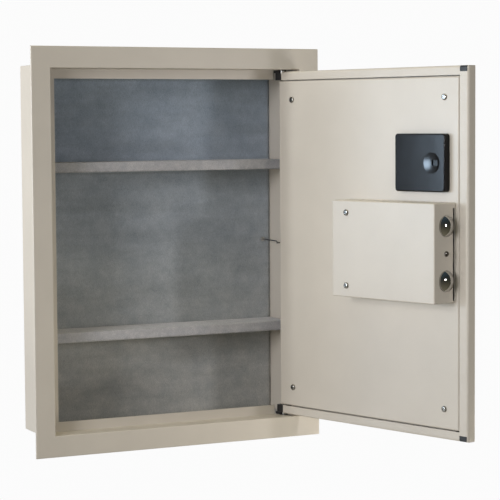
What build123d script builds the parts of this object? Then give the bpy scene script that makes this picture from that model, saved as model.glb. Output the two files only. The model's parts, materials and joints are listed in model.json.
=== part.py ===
"""Between-stud electronic wall safe, modelled as its separate pieces.

Units are millimetres. The origin is the centre of the wall opening, in the plane of the wall's
surface, where the back of the front flange rests. +X is to the right, +Y goes into the wall and
+Z is up. The door is modelled fully open, on its own plane: u runs along the door from the
pivots, the sketch's up direction is +Z, and n is the height above the pivot axis towards the
door's inner face.
"""

import os
from math import asin, cos, radians, sin

from build123d import *

# Body, front frame and door recess
BODY_HALF_W = 179.0
BODY_HALF_H = 235.0
BODY_DEPTH = 100.0
SHEET = 2.0
SEAM = 1.0
FLANGE_HALF_W = 200.0
FLANGE_HALF_H = 257.0
OPENING_LEFT = -174.2
OPENING_RIGHT = 172.9
OPENING_HALF_H = 229.8
RECESS_DEPTH = 25.5
STOP_LEFT = -160.0
STOP_HALF_H = 217.4
PIVOT_NOTCH_X = 147.0
HINGE_RETURN_Y = 34.0
BEND_R = 1.2
ANCHOR_HOLE_R = 4.25
ANCHOR_Y = 50.0
ANCHOR_SPACING = 300.0

# Screws
SCREW_SHANK_R = 2.0
SCREW_HEAD_R = 4.0
SCREW_HEAD_T = 2.2

# Door, measured from its pivot axis
HINGE_X = 157.0
HINGE_Y = 18.5
OPEN_ANGLE = 106.7
DOOR_BACK = 6.25
DOOR_FRONT = -8.75
DOOR_THICK = DOOR_BACK - DOOR_FRONT
DOOR_HINGE_EDGE = -9.5
DOOR_FREE_EDGE = 328.0
DOOR_HALF_H = 227.5
DOOR_SHEET = 1.5
DOOR_EDGE_R = 3.0
PANEL_U = (-0.4, 314.0)
PANEL_HALF_H = 215.2
PANEL_DEPTH = 5.0
PANEL_GAP = 1.0
PANEL_BEND_R = 2.6
PANEL_SCREW_U = (25.0, 290.5)
PANEL_SCREW_Z = 190.2
HINGE_CORNER = (10.0, 1.6)
HINGE_BLOCK_PROUD = 1.8
FREE_CORNER_U = (314.7, 326.4)
FREE_CORNER_H = 7.2
PIN_R = 3.0
RUNNING_CLEARANCE = 0.05
MOVING_GAP = 0.3
STAY_SLOT_U = -2.6
STAY_SLOT_SIZE = (4.4, 6.6)

# Boltwork, in the door's box
BOX_U = (137.0, 308.5)
BOX_Z = (-58.2, 62.8)
BOX_TOP = 45.0
BASE_TOP = 8.75
SLIT_TOP = 11.2
SLIT_Z = (-56.2, 56.4)
BOLT_R = 12.7
BOLT_N = 23.2
BOLT_Z = (34.9, -31.5)
BOLT_TIP = 315.0
BOLT_DOME = 5.0
BOLT_REAR = 272.0
BOLT_THROW = 16.5
BOX_SCREW_U = 162.0
BOX_SCREW_Z = (47.8, -43.8)
BOX_SCREW_LENGTH = 12.0
SIDE_SCREW_Z = 1.5
CARRIAGE_N = 21.7
CARRIAGE_T = 3.0
CARRIAGE_LEFT = 212.0
CARRIAGE_STEP_U = 238.0
CARRIAGE_STEP_Z = 20.0
CARRIAGE_Z = (-44.0, 48.0)
GUIDE_POST_U = 262.0
GUIDE_POST_Z = (36.0, -30.0)
GUIDE_POST_R = 3.0

BOARD_U = (168.0, 206.0)
BOARD_Z = (-54.0, -18.0)
BOARD_STAND = 3.0
BOARD_PILLARS = [(u, z) for u in (172.0, 202.0) for z in (-50.0, -22.0)]
BOARD_PILLAR_R = 2.5

# Knob, key lock and keypad on the door's outer face
KNOB_U = 258.5
KNOB_Z = 2.3
SPINDLE_R = 4.0
BUSH_R = 7.0
CAM_N = 14.0
CAM_PIN_R = 2.5
CAM_PIN_OFFSET = BOLT_THROW / 2
LOCK_U = 185.0
LOCK_R = 8.0
PLUG_R = 5.5
KEYPAD_Z = 110.0
KEYPAD_SIZE = (70.0, 92.0)
KEYPAD_THICK = 9.0
KEYPAD_WALL = 2.0
KEY_SIZE = (13.0, 11.5)
KEY_PITCH = (17.0, 15.5)
KEY_COLUMNS = 3
KEY_ROWS = 4
KEY_GAP = 0.4
KEY_PROUD = 1.5
KEY_NAMES = ("1", "2", "3", "4", "5", "6", "7", "8", "9", "enter", "0", "clear")
LIGHT_DROP = 8.0
LIGHT_R = 1.8

# Batteries and their cover, on the door's inner face
COVER_U = (218.0, 299.0)
COVER_Z = (75.0, 146.0)
COVER_TOP = 16.25
COVER_WALL = 2.0
COVER_AXIS = (218.9, 8.6)
LATCH_U = 283.0
LATCH_Z = 110.3
CELL_R = 7.1
CELL_LENGTH = 50.0
CELL_COUNT = 4
CELL_PITCH = 14.6
CELL_N = 3.8

# Interior
FELT = 2.0
SHELF_TOPS = {"upper": 111.5, "lower": -105.8}
SHELF_FRONT_Y = 40.0
SHELF_BACK_Y = 95.5
SHELF_HALF_W = 176.0
SHELF_LIP = 13.0
SHELF_SHEET = 1.3
SHELF_FELT = 1.3
SHELF_PIN_R = 2.5
SHELF_PIN_Y = (52.0, 86.0)

swing = radians(OPEN_ANGLE)
ALONG_DOOR = Vector(-cos(swing), -sin(swing), 0)
OUT_OF_DOOR = Vector(-sin(swing), cos(swing), 0)
DOOR = Plane(origin=(HINGE_X, HINGE_Y, 0), x_dir=ALONG_DOOR, z_dir=OUT_OF_DOOR)
DOOR_NORMAL = Axis(DOOR.origin, OUT_OF_DOOR)
DOOR_LENGTH = Axis(DOOR.origin, ALONG_DOOR)


def wall_plane(y):
    """Upright plane at depth y that faces the room; a negative extrusion goes into the wall."""
    return Plane(origin=(0, y, 0), x_dir=(1, 0, 0), z_dir=(0, -1, 0))


def door_plane(n):
    """Plane parallel to the door, n above its pivot axis."""
    return DOOR.offset(n)


def door_end_plane(u, up=0.0, n=0.0):
    """Plane square to the door's length, with its normal towards the free edge."""
    origin = DOOR.origin + ALONG_DOOR * u + OUT_OF_DOOR * n + Vector(0, 0, up)
    return Plane(origin=origin, x_dir=(0, 0, 1), z_dir=ALONG_DOOR)


def level_on_door(z, u=0.0, n=0.0):
    """Level plane at height z, with its origin over a point of the door."""
    origin = DOOR.origin + ALONG_DOOR * u + OUT_OF_DOOR * n + Vector(0, 0, z)
    return Plane(origin=origin, x_dir=ALONG_DOOR, z_dir=(0, 0, 1))


def span(across, up):
    """Adds a rectangle to the current sketch, given its low and high edges each way."""
    with Locations(((across[0] + across[1]) / 2, (up[0] + up[1]) / 2)):
        return Rectangle(across[1] - across[0], up[1] - up[0])


def keep(piece, name):
    """Labels a finished piece and writes it."""
    piece.part.label = name
    export_step(piece.part, f"parts/{name}.step")


def make_body_shell():
    with BuildPart() as body_shell:
        with BuildSketch(wall_plane(SEAM)):
            Rectangle(2 * BODY_HALF_W, 2 * BODY_HALF_H)
        extrude(amount=-(BODY_DEPTH - SEAM))
        upright = body_shell.edges().filter_by(Axis.Y)
        rear = body_shell.faces().sort_by(Axis.Y)[-1].edges()
        fillet(upright + rear, radius=BEND_R)
        with BuildSketch(wall_plane(SEAM)):
            Rectangle(2 * (BODY_HALF_W - SHEET), 2 * (BODY_HALF_H - SHEET))
        extrude(amount=-(BODY_DEPTH - SEAM - SHEET), mode=Mode.SUBTRACT)
        with BuildSketch(Plane(origin=(-BODY_HALF_W, ANCHOR_Y, 0), z_dir=(1, 0, 0), x_dir=(0, 1, 0))):
            with GridLocations(0, ANCHOR_SPACING, 1, 2):
                Circle(ANCHOR_HOLE_R)
        extrude(amount=2 * BODY_HALF_W, mode=Mode.SUBTRACT)
    keep(body_shell, "body_shell")


def make_front_frame():
    recess_left = OPENING_LEFT - SHEET
    recess_right = OPENING_RIGHT + SHEET
    recess_half = OPENING_HALF_H + SHEET
    with BuildPart() as front_frame:
        with BuildSketch(wall_plane(-SHEET)):
            Rectangle(2 * FLANGE_HALF_W, 2 * FLANGE_HALF_H)
        extrude(amount=-SHEET)
        with BuildSketch(wall_plane(0)):
            Rectangle(2 * BODY_HALF_W, 2 * BODY_HALF_H)
            Rectangle(2 * (BODY_HALF_W - SHEET), 2 * (BODY_HALF_H - SHEET), mode=Mode.SUBTRACT)
        extrude(amount=-SEAM)
        with BuildSketch(wall_plane(-SHEET)):
            span((recess_left, recess_right), (-recess_half, recess_half))
        extrude(amount=-(SHEET + RECESS_DEPTH + SHEET))
        with BuildSketch(wall_plane(-SHEET)):
            span((OPENING_RIGHT, recess_right), (-recess_half, recess_half))
        extrude(amount=-(SHEET + HINGE_RETURN_Y))
        with BuildSketch(wall_plane(HINGE_RETURN_Y)):
            span((OPENING_RIGHT, BODY_HALF_W - SHEET), (-recess_half, recess_half))
        extrude(amount=-SHEET)
        with BuildSketch(wall_plane(-SHEET)):
            span((OPENING_LEFT, OPENING_RIGHT), (-OPENING_HALF_H, OPENING_HALF_H))
        extrude(amount=-(SHEET + RECESS_DEPTH), mode=Mode.SUBTRACT)
        with BuildSketch(wall_plane(RECESS_DEPTH)):
            span((STOP_LEFT, OPENING_RIGHT), (-STOP_HALF_H, STOP_HALF_H))
            span((PIVOT_NOTCH_X, OPENING_RIGHT), (-OPENING_HALF_H, OPENING_HALF_H))
        extrude(amount=-SHEET, mode=Mode.SUBTRACT)
        with BuildSketch(level_on_door(-FLANGE_HALF_H)):
            Circle(PIN_R + RUNNING_CLEARANCE)
        extrude(amount=2 * FLANGE_HALF_H, mode=Mode.SUBTRACT)
        front = front_frame.faces().filter_by(Axis.Y).sort_by(Axis.Y)[0]
        fillet(front.edges(), radius=BEND_R)
    keep(front_frame, "front_frame")


def make_linings():
    inner_w = BODY_HALF_W - SHEET
    inner_h = BODY_HALF_H - SHEET
    back_y = BODY_DEPTH - SHEET
    side_margin = 0.5
    with BuildPart() as felt_back:
        with BuildSketch(wall_plane(back_y - FELT)):
            Rectangle(2 * (inner_w - side_margin), 2 * inner_h - FELT)
        extrude(amount=-FELT)
    keep(felt_back, "felt_back")
    floor_front = RECESS_DEPTH + 2 * SHEET
    with BuildPart() as felt_floor:
        with BuildSketch(Plane.XY.offset(-inner_h)):
            span((-inner_w + 1, inner_w - 1), (HINGE_RETURN_Y + 2 * SHEET, back_y - FELT))
            span((-inner_w + 1, PIVOT_NOTCH_X), (floor_front, back_y - FELT))
        extrude(amount=FELT / 2)
    keep(felt_floor, "felt_floor")


def make_shelf(name, top):
    """Sheet-metal shelf with a turned-down lip at the front and the back."""
    steel_top = top - SHELF_FELT
    lip_y = SHELF_FRONT_Y + SHELF_FELT
    with BuildPart() as shelf:
        with BuildSketch(Plane.YZ.offset(-SHELF_HALF_W)):
            with BuildLine():
                Polyline(
                    (lip_y, top - SHELF_LIP),
                    (lip_y, steel_top),
                    (SHELF_BACK_Y, steel_top),
                    (SHELF_BACK_Y, steel_top - SHELF_LIP),
                    (SHELF_BACK_Y - SHELF_SHEET, steel_top - SHELF_LIP),
                    (SHELF_BACK_Y - SHELF_SHEET, steel_top - SHELF_SHEET),
                    (lip_y + SHELF_SHEET, steel_top - SHELF_SHEET),
                    (lip_y + SHELF_SHEET, top - SHELF_LIP),
                    close=True,
                )
            make_face()
        extrude(amount=2 * SHELF_HALF_W)
    keep(shelf, f"{name}_shelf")


def make_shelf_felts():
    """Felt glued over each shelf and down the front of its lip."""
    lip_y = SHELF_FRONT_Y + SHELF_FELT
    with BuildPart() as shelf_felts:
        for top in SHELF_TOPS.values():
            lip_bottom = top - SHELF_LIP + SHELF_SHEET
            with BuildSketch(Plane.YZ.offset(-SHELF_HALF_W)):
                with BuildLine():
                    Polyline(
                        (SHELF_FRONT_Y, lip_bottom),
                        (SHELF_FRONT_Y, top),
                        (SHELF_BACK_Y, top),
                        (SHELF_BACK_Y, top - SHELF_FELT),
                        (lip_y, top - SHELF_FELT),
                        (lip_y, lip_bottom),
                        close=True,
                    )
                make_face()
            extrude(amount=2 * SHELF_HALF_W)
        nosing = shelf_felts.edges().filter_by(Axis.X).group_by(Axis.Y)[0]
        tops = [edge for edge in nosing if edge.center().Z in SHELF_TOPS.values()]
        fillet(tops, radius=SHELF_FELT * 0.8)
    keep(shelf_felts, "shelf_felts")


def make_shelf_pins():
    reach = 7.0
    inner_w = BODY_HALF_W - SHEET
    with BuildPart() as shelf_pins:
        for top in SHELF_TOPS.values():
            under = top - SHELF_FELT - SHELF_SHEET - SHELF_PIN_R
            for side in (-1, 1):
                face = Plane(origin=(side * inner_w, 0, 0), x_dir=(0, 1, 0), z_dir=(side, 0, 0))
                for y in SHELF_PIN_Y:
                    with BuildSketch(face):
                        with Locations((y, side * under)):
                            Circle(SHELF_PIN_R)
                    extrude(amount=-reach)
    keep(shelf_pins, "shelf_pins")


def make_hinge_hardware():
    pin_inner = PANEL_HALF_H + 1.4
    washer_foot = DOOR_HALF_H + HINGE_BLOCK_PROUD + RUNNING_CLEARANCE
    top = OPENING_HALF_H
    with BuildPart() as hinge_pins:
        for side in (1, -1):
            with BuildSketch(level_on_door(side * pin_inner)):
                Circle(PIN_R)
            extrude(amount=side * (top + SHEET - pin_inner))
        levels = hinge_pins.edges().group_by(Axis.Z)
        middle = len(levels) // 2
        chamfer(levels[middle - 1] + levels[middle], length=0.6)
    keep(hinge_pins, "hinge_pins")
    with BuildPart() as hinge_washers:
        for side in (1, -1):
            with BuildSketch(level_on_door(side * washer_foot)):
                Circle(2 * PIN_R)
                Circle(PIN_R + RUNNING_CLEARANCE, mode=Mode.SUBTRACT)
            extrude(amount=side * (top - washer_foot))
    keep(hinge_washers, "hinge_washers")


def make_stay_wire():
    """Bent wire from the back of the safe to the slot in the door's hinge edge."""
    wire_r = 0.9
    disc_t = 1.5
    disc_r = 3.0
    disc_y = BODY_DEPTH - SHEET - FELT
    start = Vector(165.0, disc_y - disc_t - RUNNING_CLEARANCE, 1.4)
    bend = Vector(155.0, 31.0, 2.2)
    with BuildPart() as stay_anchor:
        with BuildSketch(wall_plane(disc_y)):
            with Locations((start.X, start.Z)):
                Circle(disc_r)
        extrude(amount=disc_t)
        fillet(stay_anchor.faces().sort_by(Axis.Y)[0].edges(), radius=disc_t / 2)
    keep(stay_anchor, "stay_anchor")
    hook_z = 0.8
    over_slot = DOOR.from_local_coords((STAY_SLOT_U, hook_z, DOOR_BACK + 2.6))
    inside = DOOR.from_local_coords((STAY_SLOT_U, hook_z, DOOR_BACK - 3.4))
    with BuildPart() as stay_wire:
        with BuildLine() as route:
            FilletPolyline(start, bend, over_slot, inside, radius=2 * wire_r)
        with BuildSketch(Plane(origin=route.line @ 0, z_dir=route.line % 0)):
            Circle(wire_r)
        sweep()
    keep(stay_wire, "stay_wire")


def door_outline():
    """The door's outer form, with its rounded edges, before it is hollowed."""
    with BuildPart() as outline:
        with BuildSketch(door_plane(DOOR_FRONT)):
            span((DOOR_HINGE_EDGE, DOOR_FREE_EDGE), (-DOOR_HALF_H, DOOR_HALF_H))
        extrude(amount=DOOR_THICK)
        broad = outline.faces().sort_by(DOOR_NORMAL)
        fillet(broad[0].edges() + broad[-1].edges(), radius=DOOR_EDGE_R)
    return outline.part


def make_door_pan():
    inner_u = (DOOR_HINGE_EDGE + DOOR_SHEET, DOOR_FREE_EDGE - DOOR_SHEET)
    inner_z = (-DOOR_HALF_H + DOOR_SHEET, DOOR_HALF_H - DOOR_SHEET)
    lip_u = (PANEL_U[0] - PANEL_GAP, PANEL_U[1] + PANEL_GAP)
    lip_z = (-PANEL_HALF_H - PANEL_GAP, PANEL_HALF_H + PANEL_GAP)
    with BuildPart() as door_pan:
        add(door_outline())
        with BuildSketch(door_plane(DOOR_FRONT + DOOR_SHEET)):
            span(inner_u, inner_z)
        extrude(amount=DOOR_THICK - 2 * DOOR_SHEET, mode=Mode.SUBTRACT)
        with BuildSketch(door_plane(DOOR_BACK - DOOR_SHEET)):
            span(lip_u, lip_z)
            with Locations((STAY_SLOT_U, 0)):
                Rectangle(*STAY_SLOT_SIZE)
        extrude(amount=2 * DOOR_SHEET, mode=Mode.SUBTRACT)
        with BuildSketch(door_plane(DOOR_FRONT + DOOR_SHEET)):
            for side in (-1, 1):
                hinge_z = sorted((side * DOOR_HALF_H, side * (DOOR_HALF_H - HINGE_CORNER[1])))
                free_z = sorted((side * DOOR_HALF_H, side * (DOOR_HALF_H - FREE_CORNER_H)))
                span((DOOR_HINGE_EDGE, DOOR_HINGE_EDGE + HINGE_CORNER[0]), hinge_z)
                span(FREE_CORNER_U, free_z)
        extrude(amount=DOOR_THICK, mode=Mode.SUBTRACT)
        with BuildSketch(level_on_door(-DOOR_HALF_H)):
            span((DOOR_HINGE_EDGE, PIN_R + 2), (DOOR_FRONT + DOOR_SHEET, DOOR_BACK - DOOR_SHEET))
        extrude(amount=2 * DOOR_HALF_H, mode=Mode.SUBTRACT)
        with BuildSketch(door_plane(DOOR_FRONT)):
            with Locations((KNOB_U, KNOB_Z)):
                Circle(BUSH_R + RUNNING_CLEARANCE)
            with Locations((LOCK_U, KNOB_Z)):
                Circle(LOCK_R + RUNNING_CLEARANCE)
        extrude(amount=DOOR_SHEET, mode=Mode.SUBTRACT)
    keep(door_pan, "door_pan")


def make_corner_blocks():
    """Black nylon blocks in the pan's corners; the hinge-side ones turn on the pivot pins."""
    fit = 0.1
    inner_n = (DOOR_FRONT + DOOR_SHEET + fit, DOOR_BACK - DOOR_SHEET - fit)
    root_z = (PANEL_HALF_H + 1.2, DOOR_HALF_H - DOOR_SHEET - fit)
    shoulder = 7.5
    bumper_top = DOOR_BACK - 2 * fit
    with BuildPart() as hinge_blocks:
        for side in (-1, 1):
            head_z = (DOOR_HALF_H - HINGE_CORNER[1] - fit, DOOR_HALF_H + HINGE_BLOCK_PROUD)
            with BuildSketch(door_plane(inner_n[0])):
                span((DOOR_HINGE_EDGE + DOOR_SHEET + fit, shoulder), mirrored(root_z, side))
            extrude(amount=inner_n[1] - inner_n[0])
            with BuildSketch(door_plane(inner_n[0])):
                head_u = (DOOR_HINGE_EDGE + fit, DOOR_HINGE_EDGE + HINGE_CORNER[0] - fit)
                span(head_u, mirrored(head_z, side))
            extrude(amount=bumper_top - inner_n[0])
        with BuildSketch(level_on_door(-OPENING_HALF_H)):
            Circle(PIN_R + RUNNING_CLEARANCE)
        extrude(amount=2 * OPENING_HALF_H, mode=Mode.SUBTRACT)
    keep(hinge_blocks, "hinge_blocks")
    with BuildPart() as corner_bumpers:
        for side in (-1, 1):
            head_z = (DOOR_HALF_H - FREE_CORNER_H + fit, DOOR_HALF_H)
            with BuildSketch(door_plane(inner_n[0])):
                root_u = (FREE_CORNER_U[0] - shoulder, DOOR_FREE_EDGE - DOOR_SHEET - fit)
                span(root_u, mirrored(root_z, side))
            extrude(amount=inner_n[1] - inner_n[0])
            with BuildSketch(door_plane(inner_n[0])):
                span((FREE_CORNER_U[0] + fit, FREE_CORNER_U[1] - fit), mirrored(head_z, side))
            extrude(amount=bumper_top - inner_n[0])
        add(door_outline(), mode=Mode.INTERSECT)
    keep(corner_bumpers, "corner_bumpers")


def mirrored(heights, side):
    """A low and a high edge, taken above the door's middle or mirrored below it."""
    return sorted(side * height for height in heights)


def make_inner_panel():
    window = 1.0
    floor = DOOR_BACK - PANEL_DEPTH
    with BuildPart() as inner_panel:
        with BuildSketch(door_plane(floor)):
            span(PANEL_U, (-PANEL_HALF_H, PANEL_HALF_H))
        extrude(amount=PANEL_DEPTH)
        face = inner_panel.faces().sort_by(DOOR_NORMAL)[-1]
        fillet(face.edges(), radius=PANEL_BEND_R)
        with BuildSketch(door_plane(floor)):
            inner_u = (PANEL_U[0] + DOOR_SHEET, PANEL_U[1] - DOOR_SHEET)
            span(inner_u, (-PANEL_HALF_H + DOOR_SHEET, PANEL_HALF_H - DOOR_SHEET))
        extrude(amount=PANEL_DEPTH - DOOR_SHEET, mode=Mode.SUBTRACT)
        with BuildSketch(door_plane(DOOR_BACK - DOOR_SHEET)):
            span(
                (tray_u()[0] - window, tray_u()[1] + window),
                (tray_z()[0] - window, tray_z()[1] + window),
            )
            with Locations((KNOB_U, KNOB_Z)):
                Circle(BUSH_R + RUNNING_CLEARANCE)
            with Locations((LOCK_U, KNOB_Z)):
                Circle(LOCK_R + RUNNING_CLEARANCE)
            with Locations(*panel_screw_places()):
                Circle(SCREW_SHANK_R + RUNNING_CLEARANCE)
        extrude(amount=DOOR_SHEET, mode=Mode.SUBTRACT)
    keep(inner_panel, "inner_panel")


def panel_screw_places():
    return [(u, z) for u in PANEL_SCREW_U for z in (-PANEL_SCREW_Z, PANEL_SCREW_Z)]


def make_panel_fasteners():
    post_top = DOOR_BACK - DOOR_SHEET
    post_bottom = DOOR_FRONT + DOOR_SHEET
    with BuildPart() as panel_posts:
        with BuildSketch(door_plane(post_bottom)):
            with Locations(*panel_screw_places()):
                Circle(SCREW_HEAD_R)
                Circle(SCREW_SHANK_R + RUNNING_CLEARANCE, mode=Mode.SUBTRACT)
        extrude(amount=post_top - post_bottom)
    keep(panel_posts, "panel_posts")
    screw = pan_head_screw(post_top - post_bottom)
    with BuildPart(door_plane(DOOR_BACK)) as panel_screws:
        with Locations(*panel_screw_places()):
            add(screw)
    keep(panel_screws, "panel_screws")


def pan_head_screw(length):
    """Cross-recess screw that points down, with its domed head standing on the level plane."""
    cross = (0.9, 4.2, 1.3)
    with BuildPart() as screw:
        with BuildSketch(Plane.XY.offset(-length)):
            Circle(SCREW_SHANK_R)
        extrude(amount=length)
        with BuildSketch():
            Circle(SCREW_HEAD_R)
        extrude(amount=SCREW_HEAD_T)
        fillet(screw.faces().sort_by(Axis.Z)[-1].edges(), radius=SCREW_HEAD_T * 0.85)
        with BuildSketch(Plane.XY.offset(SCREW_HEAD_T - cross[2])):
            Rectangle(cross[0], cross[1])
            Rectangle(cross[1], cross[0])
        extrude(amount=cross[2], mode=Mode.SUBTRACT)
    return screw.part


def make_bolt_box():
    wall = DOOR_SHEET
    with BuildPart() as bolt_box_cover:
        with BuildSketch(door_plane(DOOR_BACK)):
            span(BOX_U, BOX_Z)
        extrude(amount=BOX_TOP - DOOR_BACK)
        corners = bolt_box_cover.edges().filter_by(DOOR_NORMAL)
        top = bolt_box_cover.faces().sort_by(DOOR_NORMAL)[-1].edges()
        fillet(corners + top, radius=DOOR_SHEET)
        with BuildSketch(door_plane(DOOR_BACK)):
            span((BOX_U[0] + wall, BOX_U[1] - wall), (BOX_Z[0] + wall, BOX_Z[1] - wall))
        extrude(amount=BOX_TOP - DOOR_BACK - wall, mode=Mode.SUBTRACT)
        with BuildSketch(door_plane(DOOR_BACK)):
            span((BOX_U[1] - wall, BOX_U[1]), SLIT_Z)
        extrude(amount=SLIT_TOP - DOOR_BACK, mode=Mode.SUBTRACT)
        with BuildSketch(door_end_plane(BOX_U[1] - wall, n=BOLT_N)):
            with Locations(*[(z, 0) for z in BOLT_Z]):
                Circle(BOLT_R + MOVING_GAP)
            with Locations((SIDE_SCREW_Z, 0)):
                Circle(SCREW_SHANK_R + RUNNING_CLEARANCE)
        extrude(amount=wall, mode=Mode.SUBTRACT)
        with BuildSketch(door_plane(BOX_TOP - wall)):
            with Locations(*[(BOX_SCREW_U, z) for z in BOX_SCREW_Z]):
                Circle(SCREW_SHANK_R + RUNNING_CLEARANCE)
        extrude(amount=wall, mode=Mode.SUBTRACT)
    keep(bolt_box_cover, "bolt_box_cover")


def make_box_base():
    margin = 0.2
    inner_z = (BOX_Z[0] + DOOR_SHEET + margin, BOX_Z[1] - DOOR_SHEET - margin)
    inner_u = (BOX_U[0] + DOOR_SHEET + margin, BOX_U[1] - DOOR_SHEET - margin)
    with BuildPart() as box_base:
        with BuildSketch(door_plane(DOOR_BACK)):
            span(inner_u, inner_z)
            span((inner_u[0], BOX_U[1]), (SLIT_Z[0] + margin, SLIT_Z[1] - margin))
            with Locations((KNOB_U, KNOB_Z)):
                Circle(BUSH_R + RUNNING_CLEARANCE, mode=Mode.SUBTRACT)
            with Locations((LOCK_U, KNOB_Z)):
                Circle(LOCK_R + RUNNING_CLEARANCE, mode=Mode.SUBTRACT)
        extrude(amount=BASE_TOP - DOOR_BACK)
    keep(box_base, "box_base")
    post_top = BOX_TOP - DOOR_SHEET
    with BuildPart() as box_posts:
        with BuildSketch(door_plane(BASE_TOP)):
            with Locations(*[(BOX_SCREW_U, z) for z in BOX_SCREW_Z]):
                Circle(SCREW_HEAD_R)
                Circle(SCREW_SHANK_R + RUNNING_CLEARANCE, mode=Mode.SUBTRACT)
        extrude(amount=post_top - BASE_TOP)
        with BuildSketch(door_plane(BASE_TOP)):
            with Locations(*BOARD_PILLARS):
                Circle(BOARD_PILLAR_R)
        extrude(amount=BOARD_STAND)
    keep(box_posts, "box_posts")
    screw = pan_head_screw(BOX_SCREW_LENGTH)
    with BuildPart(door_plane(BOX_TOP)) as box_screws:
        with Locations(*[(BOX_SCREW_U, z) for z in BOX_SCREW_Z]):
            add(screw)
    keep(box_screws, "box_screws")


def make_side_screw():
    head_r = 3.5
    length = BOX_U[1] - guide_u()[0]
    with BuildPart() as side_screw:
        with BuildSketch(door_end_plane(guide_u()[0], SIDE_SCREW_Z, BOLT_N)):
            Circle(SCREW_SHANK_R)
        extrude(amount=length)
        with BuildSketch(door_end_plane(BOX_U[1], SIDE_SCREW_Z, BOLT_N)):
            Circle(head_r)
        extrude(amount=SCREW_HEAD_T)
        rim = side_screw.faces().sort_by(DOOR_LENGTH)[-1].edges()
        fillet(rim, radius=SCREW_HEAD_T * 0.9)
    keep(side_screw, "side_screw")


def guide_u():
    """Low and high edge of the bolt guide along the door."""
    return (291.0, 294.0)


def make_bolt_guide():
    guide_z = (-52.0, 55.0)
    foot = 14.0
    foot_z = (-10.0, 12.0)
    top = 41.0
    with BuildPart() as bolt_guide:
        with BuildSketch(door_plane(BASE_TOP)):
            span(guide_u(), guide_z)
        extrude(amount=top - BASE_TOP)
        with BuildSketch(door_plane(BASE_TOP)):
            span((guide_u()[1], guide_u()[1] + foot - DOOR_SHEET), foot_z)
        extrude(amount=DOOR_SHEET)
        with BuildSketch(door_end_plane(guide_u()[0], n=BOLT_N)):
            with Locations(*[(z, 0) for z in BOLT_Z]):
                Circle(BOLT_R + RUNNING_CLEARANCE)
            with Locations((SIDE_SCREW_Z, 0)):
                Circle(SCREW_SHANK_R + RUNNING_CLEARANCE)
        extrude(amount=guide_u()[1] - guide_u()[0], mode=Mode.SUBTRACT)
    keep(bolt_guide, "bolt_guide")


def make_bolts():
    length = BOLT_TIP - BOLT_DOME - BOLT_REAR
    tip = length + BOLT_DOME
    dome_r = (BOLT_R**2 + BOLT_DOME**2) / (2 * BOLT_DOME)
    half_way = asin(BOLT_R / dome_r) / 2
    on_dome = (tip - dome_r + dome_r * cos(half_way), dome_r * sin(half_way))
    with BuildPart() as locking_bolts:
        for z in BOLT_Z:
            rear = DOOR.from_local_coords((BOLT_REAR, z, BOLT_N))
            profile = Plane(origin=rear, x_dir=ALONG_DOOR, z_dir=OUT_OF_DOOR)
            with BuildSketch(profile):
                with BuildLine():
                    Polyline((tip, 0), (0, 0), (0, BOLT_R), (length, BOLT_R))
                    ThreePointArc((length, BOLT_R), on_dome, (tip, 0))
                make_face()
            revolve(axis=Axis(rear, ALONG_DOOR))
    keep(locking_bolts, "locking_bolts")


def make_carriage():
    plate_top = CARRIAGE_N + CARRIAGE_T
    collar_t = 2.0
    collar_r = GUIDE_POST_R + 2.0
    bar_t = 3.0
    bar_n = (12.0, 34.4)
    slot_w = 2 * GUIDE_POST_R + 0.6
    cam_slot_w = 2 * CAM_PIN_R + 1.0
    cam_slot_z = (KNOB_Z + 3.9, KNOB_Z + 15.6)
    with BuildPart() as bolt_carriage:
        with BuildSketch(door_plane(CARRIAGE_N)):
            span((CARRIAGE_LEFT, BOLT_REAR), (CARRIAGE_Z[0], CARRIAGE_STEP_Z))
            span((CARRIAGE_STEP_U, BOLT_REAR), CARRIAGE_Z)
            with Locations(*[(GUIDE_POST_U - BOLT_THROW / 2, z) for z in GUIDE_POST_Z]):
                SlotOverall(BOLT_THROW + slot_w + 0.6, slot_w, mode=Mode.SUBTRACT)
            with Locations((KNOB_U - CAM_PIN_OFFSET, sum(cam_slot_z) / 2)):
                SlotOverall(
                    cam_slot_z[1] - cam_slot_z[0], cam_slot_w, rotation=90, mode=Mode.SUBTRACT
                )
        extrude(amount=CARRIAGE_T)
        with BuildSketch(door_plane(bar_n[0])):
            span((BOLT_REAR - bar_t, BOLT_REAR), CARRIAGE_Z)
        extrude(amount=bar_n[1] - bar_n[0])
    keep(bolt_carriage, "bolt_carriage")
    with BuildPart() as guide_posts:
        with BuildSketch(door_plane(BASE_TOP)):
            with Locations(*[(GUIDE_POST_U, z) for z in GUIDE_POST_Z]):
                Circle(GUIDE_POST_R)
        extrude(amount=plate_top + collar_t - BASE_TOP)
        for n in (CARRIAGE_N - MOVING_GAP - collar_t, plate_top + MOVING_GAP):
            with BuildSketch(door_plane(n)):
                with Locations(*[(GUIDE_POST_U, z) for z in GUIDE_POST_Z]):
                    Circle(collar_r)
            extrude(amount=collar_t)
    keep(guide_posts, "guide_posts")


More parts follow.
